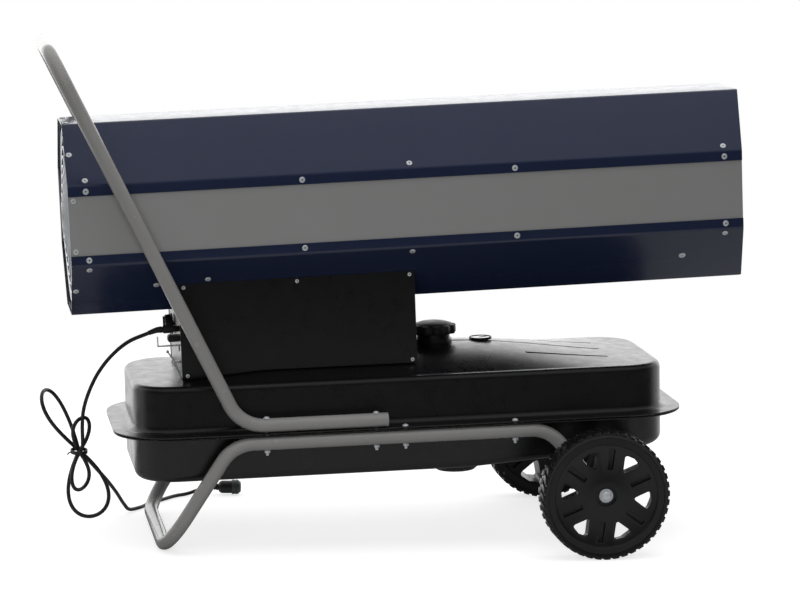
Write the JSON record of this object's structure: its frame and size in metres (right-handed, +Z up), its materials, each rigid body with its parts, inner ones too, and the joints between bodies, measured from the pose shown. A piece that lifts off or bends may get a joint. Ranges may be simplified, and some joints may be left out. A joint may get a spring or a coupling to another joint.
{
  "type": "forced air heater",
  "caption": "Direct-fired forced air space heater: octagonal barrel on a fuel tank, carried by a tubular trolley with wheels, handle and mains cord.",
  "frame": {"origin": "on the floor, under the middle of the machine's bounding box without its cord", "axes": "+X to the hot air outlet, +Y to the machine's left seen from behind, +Z up"},
  "size_m": [1.1436, 0.5738, 0.8035],
  "materials": {
    "shell_paint": "dark blue gloss powder coat",
    "band_paint": "warm light grey satin powder coat",
    "box_paint": "black satin powder coat",
    "tank_paint": "black satin paint on pressed steel",
    "frame_paint": "light grey paint on steel tube",
    "wire_paint": "black coated wire",
    "motor_paint": "dark grey paint",
    "plated_steel": "zinc plated steel",
    "chamber_steel": "heat-resistant steel sheet",
    "bare_aluminium": "bare aluminium",
    "brass": "machined brass",
    "copper_pipe": "drawn copper pipe",
    "ceramic": "glazed ceramic insulator",
    "black_plastic": "black moulded plastic",
    "switch_plastic": "black gloss plastic",
    "circuit_board": "green circuit board",
    "wheel_plastic": "black moulded plastic",
    "tyre": "black solid rubber tread",
    "rubber": "black rubber sheath",
    "cap_plastic": "grey-green protective cap"
  },
  "bodies": {
    "chassis": {"upper_shell": "shell_paint", "lower_shell": "shell_paint", "side_panel_right": "band_paint", "side_panel_left": "band_paint", "fan_shroud": "plated_steel", "fan_guard": "wire_paint", "motor": "motor_paint", "motor_bracket": "plated_steel", "fuel_pump": "bare_aluminium", "burner_head": "plated_steel", "nozzle": "brass", "ignition_electrode": "ceramic", "flame_sensor": "ceramic", "combustion_chamber": "chamber_steel", "heat_shield": "plated_steel", "outlet_spider": "plated_steel", "outlet_baffle": "chamber_steel", "control_chassis": "box_paint", "side_cover_right": "box_paint", "side_cover_left": "box_paint", "power_switch": "black_plastic", "ignition_transformer": "black_plastic", "control_board": "circuit_board", "cord_gland": "black_plastic", "cord_hook": "plated_steel", "room_sensor": "plated_steel", "fuel_hose": "rubber", "tank_upper": "tank_paint", "tank_lower": "tank_paint", "fuel_gauge": "black_plastic", "suction_pipe": "copper_pipe", "frame_tube": "frame_paint", "handle_tube": "frame_paint", "axle": "plated_steel", "wheel_nut_right": "plated_steel", "wheel_nut_left": "plated_steel", "handle_bolt_right_1": "plated_steel", "handle_bolt_right_2": "plated_steel", "rim_bolt_right_1": "plated_steel", "rim_bolt_right_2": "plated_steel", "handle_bolt_left_1": "plated_steel", "handle_bolt_left_2": "plated_steel", "rim_bolt_left_1": "plated_steel", "rim_bolt_left_2": "plated_steel", "cord_drop": "rubber", "cord_hank": "rubber", "cord_run": "rubber", "cord_tie": "black_plastic", "plug": "black_plastic", "plug_cap": "cap_plastic"},
    "right_wheel": {"wheel_right": "wheel_plastic", "tyre_right": "tyre"},
    "left_wheel": {"wheel_left": "wheel_plastic", "tyre_left": "tyre"},
    "fan": {"fan_blade": "bare_aluminium", "motor_shaft": "plated_steel"},
    "cap": {"fuel_cap": "black_plastic"},
    "drain": {"drain_plug": "black_plastic"},
    "knob": {"thermostat_knob": "black_plastic"},
    "rocker": {"switch_rocker": "switch_plastic"}
  },
  "joints": [
    {"name": "right_wheel_spin", "type": "hinge", "parent": "chassis", "child": "right_wheel", "pos_m": [0.30996, -0.2439, 0.1025], "axis": [0, 1, 0], "continuous": true},
    {"name": "left_wheel_spin", "type": "hinge", "parent": "chassis", "child": "left_wheel", "pos_m": [0.30996, 0.2439, 0.1025], "axis": [0, 1, 0], "continuous": true},
    {"name": "fan_spin", "type": "hinge", "parent": "chassis", "child": "fan", "pos_m": [-0.46372, 0, 0.5249], "axis": [0.9986, 0, 0.0525], "continuous": true},
    {"name": "cap_turn", "type": "hinge", "parent": "chassis", "child": "cap", "pos_m": [0.07183, 0, 0.3332], "axis": [-0.0355, 0, 0.9994], "range_deg": [0, 90]},
    {"name": "drain_turn", "type": "hinge", "parent": "chassis", "child": "drain", "pos_m": [0.1022, -0.06, 0.12014], "axis": [0.0355, 0, -0.9994], "range_deg": [0, 90]},
    {"name": "thermostat_turn", "type": "hinge", "parent": "chassis", "child": "knob", "pos_m": [-0.35868, 0.03, 0.34016], "axis": [-0.9986, 0, -0.0525], "range_deg": [0, 270]},
    {"name": "switch_rock", "type": "hinge", "parent": "chassis", "child": "rocker", "pos_m": [-0.36642, -0.066, 0.33124], "axis": [-0.0525, 0, 0.9986], "range_deg": [-8, 8]}
  ]
}
